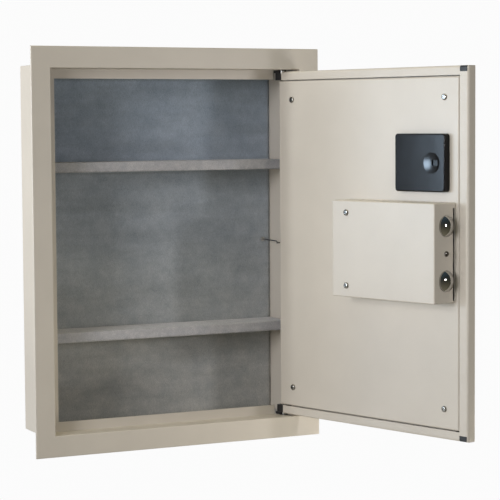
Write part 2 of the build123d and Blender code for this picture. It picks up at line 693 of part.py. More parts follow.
def make_knob():
    collar_t = 3.0
    collar_r = 24.0
    knob_back = DOOR_FRONT - collar_t - MOVING_GAP
    skirt_t = 6.0
    skirt_r = 20.0
    grip_t = 11.0
    grip = (38.0, 12.0)
    edge_r = 2.0
    spindle_end = CAM_N + 4.0
    with BuildPart() as knob_collar:
        with BuildSketch(door_plane(DOOR_FRONT - collar_t)):
            with Locations((KNOB_U, KNOB_Z)):
                Circle(collar_r)
                Circle(SPINDLE_R + MOVING_GAP, mode=Mode.SUBTRACT)
        extrude(amount=collar_t)
        outer = knob_collar.faces().sort_by(DOOR_NORMAL)[0].edges().sort_by(SortBy.RADIUS)[-1]
        fillet(outer, radius=collar_t / 2)
    keep(knob_collar, "knob_collar")
    with BuildPart() as knob:
        with BuildSketch(door_plane(knob_back - skirt_t)):
            with Locations((KNOB_U, KNOB_Z)):
                Circle(skirt_r)
        extrude(amount=skirt_t)
        fillet(knob.faces().sort_by(DOOR_NORMAL)[0].edges(), radius=edge_r)
        with BuildSketch(door_plane(knob_back - skirt_t - grip_t)):
            with Locations((KNOB_U, KNOB_Z)):
                SlotOverall(*grip, rotation=90)
        extrude(amount=grip_t + edge_r)
        fillet(knob.faces().sort_by(DOOR_NORMAL)[0].edges(), radius=edge_r)
        with BuildSketch(door_plane(knob_back - skirt_t)):
            with Locations((KNOB_U, KNOB_Z)):
                Circle(SPINDLE_R)
        extrude(amount=skirt_t, mode=Mode.SUBTRACT)
    keep(knob, "knob")
    with BuildPart() as knob_spindle:
        with BuildSketch(door_plane(knob_back - skirt_t)):
            with Locations((KNOB_U, KNOB_Z)):
                Circle(SPINDLE_R)
        extrude(amount=spindle_end - (knob_back - skirt_t))
    keep(knob_spindle, "knob_spindle")
    with BuildPart() as spindle_bush:
        with BuildSketch(door_plane(DOOR_FRONT)):
            with Locations((KNOB_U, KNOB_Z)):
                Circle(BUSH_R)
                Circle(SPINDLE_R + RUNNING_CLEARANCE, mode=Mode.SUBTRACT)
        extrude(amount=BASE_TOP + 2 - DOOR_FRONT)
    keep(spindle_bush, "spindle_bush")


def make_drive_cam():
    arm_t = 4.0
    hub_r = 9.0
    boss_r = 5.0
    pin_end = CARRIAGE_N + CARRIAGE_T + 1.5
    pin_place = (KNOB_U - CAM_PIN_OFFSET, KNOB_Z + CAM_PIN_OFFSET)
    with BuildPart() as drive_cam:
        with BuildSketch(door_plane(CAM_N)) as arm:
            with Locations((KNOB_U, KNOB_Z)):
                Circle(hub_r)
            with Locations(pin_place):
                Circle(boss_r)
            make_hull(arm.sketch_local.edges())
            with Locations((KNOB_U, KNOB_Z)):
                Circle(SPINDLE_R, mode=Mode.SUBTRACT)
        extrude(amount=arm_t)
        with BuildSketch(door_plane(CAM_N)):
            with Locations(pin_place):
                Circle(CAM_PIN_R)
        extrude(amount=pin_end - CAM_N)
    keep(drive_cam, "drive_cam")


def make_key_lock():
    body_n = (DOOR_FRONT - 1.0, 20.0)
    ring_t = 1.5
    ring_r = LOCK_R + 3.0
    keyway = (1.8, 7.0)
    plug_tip = 24.0
    tail = (6.0, 16.0, 2.0)
    with BuildPart() as lock_body:
        with BuildSketch(door_plane(body_n[0])):
            with Locations((LOCK_U, KNOB_Z)):
                Circle(LOCK_R)
        extrude(amount=body_n[1] - body_n[0])
        with BuildSketch(door_plane(DOOR_FRONT - ring_t)):
            with Locations((LOCK_U, KNOB_Z)):
                Circle(ring_r)
        extrude(amount=ring_t)
        fillet(lock_body.faces().sort_by(DOOR_NORMAL)[0].edges(), radius=0.6)
        with BuildSketch(door_plane(DOOR_FRONT - ring_t)):
            with Locations((LOCK_U, KNOB_Z)):
                Circle(PLUG_R + RUNNING_CLEARANCE)
        extrude(amount=body_n[1] - DOOR_FRONT + ring_t, mode=Mode.SUBTRACT)
    keep(lock_body, "lock_body")
    with BuildPart() as lock_plug:
        with BuildSketch(door_plane(DOOR_FRONT - ring_t)):
            with Locations((LOCK_U, KNOB_Z)):
                Circle(PLUG_R)
        extrude(amount=plug_tip - DOOR_FRONT + ring_t)
        with BuildSketch(door_plane(DOOR_FRONT - ring_t)):
            with Locations((LOCK_U, KNOB_Z)):
                Rectangle(*keyway)
        extrude(amount=body_n[1], mode=Mode.SUBTRACT)
        with BuildSketch(door_plane(body_n[1] + MOVING_GAP)):
            with Locations((LOCK_U, KNOB_Z - tail[1] / 2)):
                Rectangle(tail[0], tail[1])
        extrude(amount=tail[2])
    keep(lock_plug, "lock_plug")


def make_lock_cover():
    """Round plate that hangs over the keyhole and swings aside on its screw."""
    pivot_z = KNOB_Z + 17.0
    plate_r = 12.5
    eye_r = 6.0
    head_t = 1.6
    plate_n = DOOR_FRONT - 4.4
    plate_t = 2.0
    with BuildPart() as lock_cover:
        with BuildSketch(door_plane(plate_n)) as outline:
            with Locations((LOCK_U, KNOB_Z)):
                Circle(plate_r)
            with Locations((LOCK_U, pivot_z)):
                Circle(eye_r)
            make_hull(outline.sketch_local.edges())
            with Locations((LOCK_U, pivot_z)):
                Circle(SCREW_SHANK_R + RUNNING_CLEARANCE, mode=Mode.SUBTRACT)
        extrude(amount=plate_t)
        rim = lock_cover.faces().sort_by(DOOR_NORMAL)[0].outer_wire().edges()
        fillet(rim, radius=0.8)
    keep(lock_cover, "lock_cover")
    with BuildPart() as cover_pivot:
        with BuildSketch(door_plane(plate_n)):
            with Locations((LOCK_U, pivot_z)):
                Circle(SCREW_SHANK_R)
        extrude(amount=DOOR_FRONT - plate_n)
        with BuildSketch(door_plane(plate_n + plate_t + MOVING_GAP)):
            with Locations((LOCK_U, pivot_z)):
                Circle(SCREW_HEAD_R)
        extrude(amount=DOOR_FRONT - (plate_n + plate_t + MOVING_GAP))
        with BuildSketch(door_plane(plate_n - MOVING_GAP - head_t)):
            with Locations((LOCK_U, pivot_z)):
                Circle(SCREW_HEAD_R)
        extrude(amount=head_t)
        fillet(cover_pivot.faces().sort_by(DOOR_NORMAL)[0].edges(), radius=1)
        with BuildSketch(door_plane(plate_n - MOVING_GAP)):
            with Locations((LOCK_U, pivot_z)):
                Circle(SCREW_SHANK_R)
        extrude(amount=MOVING_GAP)
    keep(cover_pivot, "cover_pivot")


def key_places():
    """Centres of the keys, row by row from the top, along the door and up."""
    places = []
    for row in range(KEY_ROWS):
        for column in range(KEY_COLUMNS):
            u = KNOB_U - (column - (KEY_COLUMNS - 1) / 2) * KEY_PITCH[0]
            z = KEYPAD_Z - LIGHT_DROP - (row - (KEY_ROWS - 1) / 2) * KEY_PITCH[1]
            places.append((u, z))
    return places


def light_places():
    z = KEYPAD_Z + KEYPAD_SIZE[1] / 2 - 9
    return [(KNOB_U + step * 10.0, z) for step in (-1, 0, 1)]


def make_keypad():
    front = DOOR_FRONT - KEYPAD_THICK
    corner_r = 7.0
    edge_r = 2.5
    well_w = KEY_SIZE[0] + 2 * KEY_GAP
    well_h = KEY_SIZE[1] + 2 * KEY_GAP
    with BuildPart() as keypad_housing:
        with BuildSketch(door_plane(front)):
            with Locations((KNOB_U, KEYPAD_Z)):
                RectangleRounded(*KEYPAD_SIZE, corner_r)
        extrude(amount=KEYPAD_THICK)
        fillet(keypad_housing.faces().sort_by(DOOR_NORMAL)[0].edges(), radius=edge_r)
        with BuildSketch(door_plane(front + KEYPAD_WALL)):
            with Locations((KNOB_U, KEYPAD_Z)):
                inner_size = [size - 2 * KEYPAD_WALL for size in KEYPAD_SIZE]
                RectangleRounded(*inner_size, corner_r - KEYPAD_WALL)
        extrude(amount=KEYPAD_THICK - KEYPAD_WALL, mode=Mode.SUBTRACT)
        with BuildSketch(door_plane(front)):
            with Locations(*key_places()):
                RectangleRounded(well_w, well_h, 2)
            with Locations(*light_places()):
                Circle(LIGHT_R)
        extrude(amount=KEYPAD_WALL, mode=Mode.SUBTRACT)
    keep(keypad_housing, "keypad_housing")
    board_t = 1.6
    board_margin = 4.0
    board_n = DOOR_FRONT - board_t - RUNNING_CLEARANCE
    with BuildPart() as keypad_board:
        with BuildSketch(door_plane(board_n)):
            with Locations((KNOB_U, KEYPAD_Z)):
                Rectangle(*[size - 2 * board_margin for size in KEYPAD_SIZE])
        extrude(amount=board_t)
    keep(keypad_board, "keypad_board")
    with BuildPart() as indicator_lights:
        with BuildSketch(door_plane(front - 0.5)):
            with Locations(*light_places()):
                Circle(LIGHT_R)
        extrude(amount=board_n - front + 0.5)
        fillet(indicator_lights.faces().group_by(DOOR_NORMAL)[0].edges(), radius=1.2)
    keep(indicator_lights, "indicator_lights")


def make_keys():
    front = DOOR_FRONT - KEYPAD_THICK
    flange_n = front + KEYPAD_WALL + KEY_GAP
    flange_t = 1.2
    stem_end = DOOR_FRONT - 3.2
    for name, place in zip(KEY_NAMES, key_places()):
        with BuildPart() as key:
            with BuildSketch(door_plane(front - KEY_PROUD)):
                with Locations(place):
                    RectangleRounded(*KEY_SIZE, 1.6)
            extrude(amount=flange_n + flange_t - front + KEY_PROUD)
            fillet(key.faces().sort_by(DOOR_NORMAL)[0].edges(), radius=0.8)
            with BuildSketch(door_plane(flange_n)):
                with Locations(place):
                    Rectangle(KEY_SIZE[0] + 2.2, KEY_SIZE[1] + 2.2)
            extrude(amount=flange_t)
            with BuildSketch(door_plane(flange_n)):
                with Locations(place):
                    Circle(2.5)
            extrude(amount=stem_end - flange_n)
        keep(key, f"key_{name}")


def tray_u():
    return (COVER_U[0] + 6.0, COVER_U[1] - 6.0)


def tray_z():
    return (COVER_Z[0] + 4.5, COVER_Z[1] - 4.5)


def make_battery_tray():
    floor_n = DOOR_FRONT + DOOR_SHEET + 0.1
    wall = 1.0
    rim_t = 1.2
    rim = 2.0
    with BuildPart() as battery_tray:
        with BuildSketch(door_plane(floor_n)):
            span(tray_u(), tray_z())
        extrude(amount=DOOR_BACK - floor_n)
        with BuildSketch(door_plane(DOOR_BACK)):
            span((tray_u()[0] - rim, tray_u()[1] + rim), (tray_z()[0] - rim, tray_z()[1] + rim))
        extrude(amount=rim_t)
        with BuildSketch(door_plane(floor_n + wall)):
            span((tray_u()[0] + wall, tray_u()[1] - wall), (tray_z()[0] + wall, tray_z()[1] - wall))
        extrude(amount=DOOR_THICK + rim_t, mode=Mode.SUBTRACT)
    keep(battery_tray, "battery_tray")


def cell_rows():
    middle = (COVER_Z[0] + COVER_Z[1]) / 2
    return [middle + (row - (CELL_COUNT - 1) / 2) * CELL_PITCH for row in range(CELL_COUNT)]


def make_batteries():
    middle = (tray_u()[0] + tray_u()[1]) / 2
    cell_start = middle - CELL_LENGTH / 2
    button_r = 2.7
    button_t = 1.2
    with BuildPart() as battery_cells:
        for row, z in enumerate(cell_rows()):
            button_end = middle + (CELL_LENGTH / 2 if row % 2 else -CELL_LENGTH / 2 - button_t)
            with BuildSketch(door_end_plane(cell_start, z, CELL_N)):
                Circle(CELL_R)
            extrude(amount=CELL_LENGTH)
            with BuildSketch(door_end_plane(button_end, z, CELL_N)):
                Circle(button_r)
            extrude(amount=button_t)
    keep(battery_cells, "battery_cells")
    plate_t = 0.5
    plate = (8.0, 10.0)
    spring_r = (3.4, 1.8)
    inner = (tray_u()[0] + 1.0, tray_u()[1] - 1.0)
    with BuildPart() as battery_contacts:
        for row, z in enumerate(cell_rows()):
            for end in (0, 1):
                at_button = bool(row % 2) == bool(end)
                wall_u = inner[0] if end == 0 else inner[1] - plate_t
                with BuildSketch(door_end_plane(wall_u, z, CELL_N)):
                    Rectangle(plate[1], plate[0])
                extrude(amount=plate_t)
                cell_end = cell_start if end == 0 else cell_start + CELL_LENGTH
                if at_button:
                    cell_end += button_t if end else -button_t
                base_u = wall_u + plate_t if end == 0 else wall_u
                with BuildSketch(door_end_plane(base_u, z, CELL_N)):
                    Circle(spring_r[0])
                with BuildSketch(door_end_plane(cell_end, z, CELL_N)):
                    Circle(spring_r[1])
                loft()
    keep(battery_contacts, "battery_contacts")


def make_battery_cover():
    floor_n = DOOR_BACK + MOVING_GAP + 0.05
    hinge_side_n = floor_n + 0.4
    recess_r = 13.0
    dish_r = 120.0
    dish_depth = dish_r - (dish_r**2 - recess_r**2) ** 0.5
    recess_u = LATCH_U - 4.5
    latch = (7.6, 6.2)
    with BuildPart() as battery_cover:
        with BuildSketch(door_plane(floor_n)):
            with Locations(((COVER_U[0] + COVER_U[1]) / 2, (COVER_Z[0] + COVER_Z[1]) / 2)):
                RectangleRounded(COVER_U[1] - COVER_U[0], COVER_Z[1] - COVER_Z[0], 4)
        extrude(amount=COVER_TOP - floor_n)
        fillet(battery_cover.faces().sort_by(DOOR_NORMAL)[-1].edges(), radius=1.6)
        with BuildSketch(door_plane(floor_n)):
            with Locations(((COVER_U[0] + COVER_U[1]) / 2, (COVER_Z[0] + COVER_Z[1]) / 2)):
                RectangleRounded(
                    COVER_U[1] - COVER_U[0] - 2 * COVER_WALL,
                    COVER_Z[1] - COVER_Z[0] - 2 * COVER_WALL,
                    2.5,
                )
        extrude(amount=COVER_TOP - COVER_WALL - floor_n, mode=Mode.SUBTRACT)
        with BuildSketch(door_plane(floor_n)):
            span((COVER_U[0], COVER_U[0] + 5), COVER_Z)
        extrude(amount=hinge_side_n - floor_n, mode=Mode.SUBTRACT)
        dish = Location(DOOR.from_local_coords((recess_u, LATCH_Z, COVER_TOP + dish_r - dish_depth)))
        with Locations(dish):
            Sphere(dish_r, mode=Mode.SUBTRACT)
        with BuildSketch(door_plane(COVER_TOP - COVER_WALL)):
            with Locations((LATCH_U, LATCH_Z)):
                Rectangle(latch[0] + 2.4, latch[1] + 0.8)
        extrude(amount=COVER_WALL, mode=Mode.SUBTRACT)
    keep(battery_cover, "battery_cover")
    latch_top = COVER_TOP - 1.5
    with BuildPart() as cover_latch:
        with BuildSketch(door_plane(COVER_TOP - COVER_WALL - 2.0)):
            with Locations((LATCH_U + 0.8, LATCH_Z)):
                Rectangle(*latch)
        extrude(amount=latch_top - COVER_TOP + COVER_WALL + 2.0)
        with BuildSketch(door_plane(COVER_TOP - COVER_WALL - 2.0)):
            with Locations((LATCH_U + 1.6, LATCH_Z)):
                Rectangle(latch[0] + 2.4, latch[1] + 5)
        extrude(amount=1.6)
    keep(cover_latch, "cover_latch")


def make_solenoid():
    body_u = (209.0, 233.0)
    body_z = (28.5, 54.0)
    body_top = 34.0
    plunger_r = 3.5
    wall = 1.5
    coil_r = 10.0
    pull_room = 6.0
    middle_u = (body_u[0] + body_u[1]) / 2
    plunger_n = CARRIAGE_N + CARRIAGE_T / 2
    with BuildPart() as solenoid_frame:
        with BuildSketch(door_plane(BASE_TOP)):
            span(body_u, body_z)
        extrude(amount=body_top - BASE_TOP)
        with BuildSketch(door_plane(BASE_TOP + wall)):
            span(body_u, (body_z[0] + wall, body_z[1] - wall))
        extrude(amount=body_top - BASE_TOP, mode=Mode.SUBTRACT)
        with BuildSketch(level_on_door(body_z[0], middle_u, plunger_n)):
            Circle(plunger_r + MOVING_GAP)
        extrude(amount=wall, mode=Mode.SUBTRACT)
    keep(solenoid_frame, "solenoid_frame")
    with BuildPart() as solenoid_coil:
        with BuildSketch(level_on_door(body_z[0] + wall, middle_u, plunger_n)):
            Circle(coil_r)
            Circle(plunger_r + RUNNING_CLEARANCE, mode=Mode.SUBTRACT)
        extrude(amount=body_z[1] - body_z[0] - 2 * wall)
    keep(solenoid_coil, "solenoid_coil")
    with BuildPart() as solenoid_plunger:
        with BuildSketch(level_on_door(CARRIAGE_STEP_Z + MOVING_GAP, middle_u, plunger_n)):
            Circle(plunger_r)
        extrude(amount=body_z[1] - wall - pull_room - CARRIAGE_STEP_Z)
        chamfer(solenoid_plunger.edges().group_by(Axis.Z)[0], length=0.8)
    keep(solenoid_plunger, "solenoid_plunger")


def make_control_board():
    board_t = 1.6
    part_t = 6.0
    relay = ((176.0, 190.0), (-46.0, -32.0))
    connector = ((193.0, 199.0), (-46.0, -30.0))
    board_n = BASE_TOP + BOARD_STAND
    with BuildPart() as control_board:
        with BuildSketch(door_plane(board_n)):
            span(BOARD_U, BOARD_Z)
        extrude(amount=board_t)
        with BuildSketch(door_plane(board_n + board_t)):
            span(*relay)
            span(*connector)
        extrude(amount=part_t)
    keep(control_board, "control_board")


def main():
    os.makedirs("parts", exist_ok=True)
    make_body_shell()
    make_front_frame()
    make_linings()
    for name, top in SHELF_TOPS.items():
        make_shelf(name, top)
    make_shelf_felts()
    make_shelf_pins()
    make_hinge_hardware()
    make_stay_wire()
    make_door_pan()
    make_corner_blocks()
    make_inner_panel()
    make_panel_fasteners()
    make_bolt_box()
    make_box_base()
    make_side_screw()
    make_bolt_guide()
    make_bolts()
    make_carriage()
    make_knob()
    make_drive_cam()
    make_key_lock()
    make_lock_cover()
    make_keypad()
    make_keys()
    make_battery_tray()
    make_batteries()
    make_battery_cover()
    make_solenoid()
    make_control_board()


main()
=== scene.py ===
"""Looks of the wall safe: paint, felt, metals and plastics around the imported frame."""
import json
import math

import bmesh
import bpy
from mathutils import Matrix, Vector, noise

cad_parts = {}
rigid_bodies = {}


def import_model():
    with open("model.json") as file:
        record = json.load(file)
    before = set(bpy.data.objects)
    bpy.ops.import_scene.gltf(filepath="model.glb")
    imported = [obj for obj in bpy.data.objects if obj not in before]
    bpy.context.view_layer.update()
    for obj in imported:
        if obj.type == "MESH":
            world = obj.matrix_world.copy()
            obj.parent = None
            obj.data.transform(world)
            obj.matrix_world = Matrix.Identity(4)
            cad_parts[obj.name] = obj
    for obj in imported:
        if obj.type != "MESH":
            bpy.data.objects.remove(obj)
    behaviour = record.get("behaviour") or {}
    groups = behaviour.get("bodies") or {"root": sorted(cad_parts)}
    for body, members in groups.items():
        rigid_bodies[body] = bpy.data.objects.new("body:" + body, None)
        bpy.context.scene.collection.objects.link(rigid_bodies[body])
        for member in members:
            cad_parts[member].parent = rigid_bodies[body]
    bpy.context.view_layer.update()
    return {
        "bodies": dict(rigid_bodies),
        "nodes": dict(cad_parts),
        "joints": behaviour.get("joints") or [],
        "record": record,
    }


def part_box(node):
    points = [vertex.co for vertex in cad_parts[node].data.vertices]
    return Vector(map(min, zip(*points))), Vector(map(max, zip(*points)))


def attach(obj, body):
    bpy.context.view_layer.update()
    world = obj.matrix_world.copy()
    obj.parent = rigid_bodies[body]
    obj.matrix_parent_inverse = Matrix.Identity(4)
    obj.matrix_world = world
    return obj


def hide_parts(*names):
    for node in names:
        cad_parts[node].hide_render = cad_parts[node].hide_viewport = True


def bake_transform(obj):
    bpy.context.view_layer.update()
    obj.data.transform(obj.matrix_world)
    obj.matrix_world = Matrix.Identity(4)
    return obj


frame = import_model()
NODES = frame["nodes"]
JOINTS = {joint["name"]: joint for joint in frame["joints"]}
MM = 0.001

# The door's own directions at rest: along it from the hinge, up, and out of its inner face.
ALONG = Vector(JOINTS["bolt_throw"]["axis"]).normalized()
UP = Vector((0, 0, 1))
INWARD = -Vector(JOINTS["knob_turn"]["axis"]).normalized()


# ---------------------------------------------------------------- shader helpers
class Shader:
    """A node material with one Principled shader, built up by short calls."""

    def __init__(self, name, color, roughness, metallic=0.0, **sockets):
        self.material = bpy.data.materials.new(name)
        self.material.use_nodes = True
        self.tree = self.material.node_tree
        self.shader = self.tree.nodes["Principled BSDF"]
        self.shader.inputs["Base Color"].default_value = (*color, 1)
        self.shader.inputs["Roughness"].default_value = roughness
        self.shader.inputs["Metallic"].default_value = metallic
        for socket, value in sockets.items():
            self.shader.inputs[socket.replace("_", " ")].default_value = value
        self.place = self.tree.nodes.new("ShaderNodeTexCoord").outputs["Object"]
        self.normal = None

    def link(self, source, target):
        self.tree.links.new(source, target)

    def stretched(self, scale):
        """Object coordinates multiplied by scale, one factor for each axis."""
        mapping = self.tree.nodes.new("ShaderNodeMapping")
        mapping.inputs["Scale"].default_value = scale
        self.link(self.place, mapping.inputs["Vector"])
        return mapping.outputs["Vector"]

    def noise(self, size, detail=2.0, rough=0.5, stretch=(1, 1, 1)):
        """Noise from 0 to 1 whose lumps are about size metres across."""
        node = self.tree.nodes.new("ShaderNodeTexNoise")
        node.inputs["Scale"].default_value = 1
        node.inputs["Detail"].default_value = detail
        node.inputs["Roughness"].default_value = rough
        self.link(self.stretched([s / size for s in stretch]), node.inputs["Vector"])
        return node.outputs["Fac"]

    def cells(self, size):
        """Distance field of random cells about size metres across."""
        node = self.tree.nodes.new("ShaderNodeTexVoronoi")
        node.inputs["Scale"].default_value = 1
        self.link(self.stretched([1 / size] * 3), node.inputs["Vector"])
        return node.outputs["Distance"]

    def ramp(self, value, stops, constant=False):
        """Colours at places from 0 to 1, blended by value."""
        node = self.tree.nodes.new("ShaderNodeValToRGB")
        ramp = node.color_ramp
        ramp.interpolation = "CONSTANT" if constant else "LINEAR"
        while len(ramp.elements) < len(stops):
            ramp.elements.new(0.5)
        for element, (position, color) in zip(ramp.elements, stops):
            element.position = position
            element.color = (*color, 1)
        self.link(value, node.inputs["Fac"])
        return node.outputs["Color"]

    def mix(self, factor, first, second, mode="MIX"):
        """Two colours mixed; factor and colours may be sockets or constants."""
        node = self.tree.nodes.new("ShaderNodeMix")
        node.data_type = "RGBA"
        node.blend_type = mode
        for source, socket in ((factor, 0), (first, 6), (second, 7)):
            if isinstance(source, bpy.types.NodeSocket):
                self.link(source, node.inputs[socket])
            elif isinstance(source, (int, float)):
                node.inputs[socket].default_value = source
            else:
                node.inputs[socket].default_value = (*source, 1)
        return node.outputs[2]

    def remap(self, value, low, high):
        """value from 0 to 1 moved to the range low to high."""
        node = self.tree.nodes.new("ShaderNodeMapRange")
        node.inputs["To Min"].default_value = low
        node.inputs["To Max"].default_value = high
        self.link(value, node.inputs["Value"])
        return node.outputs["Result"]

    def bump(self, height, distance, strength=1.0):
        """Adds one layer of relief, distance metres deep."""
        node = self.tree.nodes.new("ShaderNodeBump")
        node.inputs["Distance"].default_value = distance
        node.inputs["Strength"].default_value = strength
        self.link(height, node.inputs["Height"])
        if self.normal:
            self.link(self.normal, node.inputs["Normal"])
        self.normal = node.outputs["Normal"]
        self.link(self.normal, self.shader.inputs["Normal"])

    def color(self, socket):
        self.link(socket, self.shader.inputs["Base Color"])

    def roughness(self, socket):
        self.link(socket, self.shader.inputs["Roughness"])


def shade(factor, color):
    return tuple(factor * c for c in color)


# ---------------------------------------------------------------- materials
CREAM = (0.665, 0.615, 0.54)


def powder_coat(name, color, grain, relief):
    """Satin powder coat: fine orange peel of the given grain size and relief depth."""
    paint = Shader(name, color, 0.4, Coat_Weight=0.12, Coat_Roughness=0.3)
    tint = paint.noise(70 * MM, detail=3)
    paint.color(paint.ramp(tint, [(0.3, shade(0.965, color)), (0.7, shade(1.02, color))]))
    paint.roughness(paint.remap(paint.noise(9 * MM), 0.34, 0.46))
    paint.bump(paint.noise(grain, detail=1.5), relief)
    paint.bump(paint.noise(6 * grain, detail=1), 1.5 * relief, strength=0.6)
    return paint.material


def felt(name, dark, light, band, seed_size, painted_light_tint=0.0):
    """Needle felt: crossing fibres, soft mottling and faint pressed bands. A tint above zero
    paints light into the lining: bluer towards its top and warmer towards its bottom, as cool
    light from above and warm light from below would make it."""
    cloth = Shader(name, light, 0.95, Sheen_Weight=0.35, Sheen_Roughness=0.45)
    fibres = cloth.noise(0.55 * MM, detail=4, rough=0.7, stretch=(0.35, 1, 1))
    cross = cloth.noise(0.6 * MM, detail=4, rough=0.7, stretch=(1, 1, 0.3))
    both = cloth.mix(0.5, fibres, cross)
    body = cloth.ramp(both, [(0.32, dark), (0.68, light)])
    mottle = cloth.noise(seed_size, detail=5, rough=0.65)
    patches = cloth.ramp(mottle, [(0.3, (0.84, 0.85, 0.87)), (0.7, (1.12, 1.1, 1.08))])
    body = cloth.mix(1.0, body, patches, "MULTIPLY")
    bands = cloth.noise(26 * MM, detail=3, rough=0.6, stretch=(0.16, 1, 1))
    white = (1, 1, 1)
    pressed = cloth.ramp(bands, [(0.3, shade(1 - band, white)), (0.7, shade(1 + band, white))])
    body = cloth.mix(1.0, body, pressed, "MULTIPLY")
    # Painted light: the colour is tinted bluer at the top and warmer at the bottom, standing in for cool
    # light from above and warm light from below.
    if painted_light_tint:
        low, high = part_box("felt_back")
        split = cloth.tree.nodes.new("ShaderNodeSeparateXYZ")
        cloth.link(cloth.place, split.inputs["Vector"])
        height = cloth.tree.nodes.new("ShaderNodeMapRange")
        height.inputs["From Min"].default_value = low.z
        height.inputs["From Max"].default_value = high.z
        cloth.link(split.outputs["Z"], height.inputs["Value"])
        ends = [(0.0, (1 + painted_light_tint / 2, 1, 1 - painted_light_tint)), (1.0, (1 - painted_light_tint, 1, 1 + painted_light_tint))]
        body = cloth.mix(1.0, body, cloth.ramp(height.outputs["Result"], ends), "MULTIPLY")
    cloth.color(body)
    cloth.bump(both, 0.5 * MM)
    cloth.bump(mottle, 0.8 * MM, strength=0.5)
    return cloth.material


def plated(name, color, roughness, tint=0.05):
    """Plated or polished metal with fine handling marks."""
    scratch = 0.35
    metal = Shader(name, color, roughness, 1.0)
    marks = metal.noise(2.5 * MM, detail=4, stretch=(1, 1, 0.25))
    metal.roughness(metal.remap(marks, roughness * (1 - scratch), roughness * (1 + scratch)))
    cloud = metal.noise(7 * MM, detail=3)
    metal.color(metal.ramp(cloud, [(0.3, shade(1 - tint, color)), (0.7, shade(1 + tint, color))]))
    metal.bump(marks, 0.02 * MM)
    return metal.material


def plastic(name, color, roughness, relief=0.03 * MM, **sockets):
    """Moulded plastic with a fine tool texture."""
    resin = Shader(name, color, roughness, **sockets)
    resin.roughness(resin.remap(resin.noise(14 * MM, detail=3), roughness * 0.85, roughness * 1.2))
    resin.bump(resin.noise(0.4 * MM, detail=2), relief)
    cloud = resin.noise(25 * MM, detail=2)
    resin.color(resin.ramp(cloud, [(0.3, shade(0.9, color)), (0.7, shade(1.08, color))]))
    return resin.material


def wound_wire(name, groove, crown, pitch):
    """Turns of enamelled wire stacked along Z, pitch metres apart."""
    wrap = Shader(name, groove, 0.35, 0.8)
    wave = wrap.tree.nodes.new("ShaderNodeTexWave")
    wave.bands_direction = "Z"
    wave.inputs["Scale"].default_value = math.pi / 10 / pitch
    wave.inputs["Distortion"].default_value = 0
    wrap.link(wrap.place, wave.inputs["Vector"])
    wrap.color(wrap.ramp(wave.outputs["Fac"], [(0.25, groove), (0.75, crown)]))
    wrap.bump(wave.outputs["Fac"], 0.15 * MM)
    return wrap.material


def circuit_board():
    """Solder-resist green with lighter tracks and small pads."""
    green, track, pad = (0.015, 0.10, 0.045), (0.03, 0.17, 0.08), (0.6, 0.58, 0.5)
    board = Shader("circuit_board", green, 0.35, Coat_Weight=0.3)
    brick = board.tree.nodes.new("ShaderNodeTexBrick")
    brick.inputs["Color1"].default_value = (0, 0, 0, 1)
    brick.inputs["Color2"].default_value = (0, 0, 0, 1)
    brick.inputs["Mortar"].default_value = (1, 1, 1, 1)
    brick.inputs["Scale"].default_value = 1
    brick.inputs["Mortar Size"].default_value = 0.03
    board.link(board.stretched([1 / (6 * MM)] * 3), brick.inputs["Vector"])
    tracks = board.mix(brick.outputs["Color"], green, track)
    dots = board.ramp(board.cells(3.2 * MM), [(0.0, (1, 1, 1)), (0.16, (0, 0, 0))], constant=True)
    board.color(board.mix(dots, tracks, pad))
    return board.material


def lens(name):
    """The three indicator lenses: green, amber and red in order across the keypad."""
    glow = Shader(name, (0.5, 0.5, 0.5), 0.2, Transmission_Weight=0.25, Coat_Weight=0.5)
    low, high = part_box("indicator_lights")
    across = glow.tree.nodes.new("ShaderNodeSeparateXYZ")
    glow.link(glow.place, across.inputs["Vector"])
    place = glow.tree.nodes.new("ShaderNodeMapRange")
    place.inputs["From Min"].default_value = low.y
    place.inputs["From Max"].default_value = high.y
    glow.link(across.outputs["Y"], place.inputs["Value"])
    stops = [(0.0, (0.5, 0.02, 0.015)), (0.33, (0.6, 0.3, 0.02)), (0.67, (0.03, 0.35, 0.05))]
    glow.color(glow.ramp(place.outputs["Result"], stops, constant=True))
    return glow.material


MATERIALS = {
    "cream_paint": powder_coat("cream_paint", CREAM, 1.1 * MM, 0.10 * MM),
    "textured_paint": powder_coat("textured_paint", CREAM, 1.7 * MM, 0.42 * MM),
    # The felt lining's tint paints cool light at its top and warm light at its bottom.
    "felt": felt("felt", (0.26, 0.285, 0.32), (0.58, 0.61, 0.65), 0.13, 22 * MM, painted_light_tint=0.13),
    "shelf_felt": felt("shelf_felt", (0.32, 0.32, 0.335), (0.64, 0.64, 0.665), 0.08, 9 * MM),
    "zinc_steel": plated("zinc_steel", (0.60, 0.60, 0.58), 0.32),
    "screw_steel": plated("screw_steel", (0.34, 0.33, 0.31), 0.24),
    "dark_screw": plated("dark_screw", (0.16, 0.15, 0.14), 0.22),
    "spring_steel": plated("spring_steel", (0.16, 0.16, 0.17), 0.35),
    "chrome": plated("chrome", (0.50, 0.49, 0.47), 0.07, tint=0.02),
    "black_nylon": plastic("black_nylon", (0.012, 0.012, 0.014), 0.5),
    "black_gloss": plastic("black_gloss", (0.004, 0.0045, 0.006), 0.15, relief=0.002 * MM,
                           Specular_IOR_Level=0.18),
    "knob_plastic": plastic("knob_plastic", (0.018, 0.018, 0.02), 0.42),
    "key_plastic": plastic("key_plastic", (0.30, 0.31, 0.33), 0.45),
    "legend_paint": plastic("legend_paint", (0.88, 0.88, 0.86), 0.5),
    "brass": plated("brass", (0.62, 0.44, 0.18), 0.28),
    "copper_coil": wound_wire("copper_coil", (0.42, 0.16, 0.05), (0.62, 0.28, 0.10), 0.5 * MM),
    "circuit_board": circuit_board(),
    "light_lens": lens("light_lens"),
    "cell_wrap": plastic("cell_wrap", (0.03, 0.05, 0.10), 0.25),
    "contact_metal": plated("contact_metal", (0.70, 0.69, 0.64), 0.25),
}
OWN_MATERIAL = {
    "door_pan": "textured_paint",
    "panel_screws": "screw_steel",
    "box_screws": "screw_steel",
    "side_screw": "dark_screw",
}


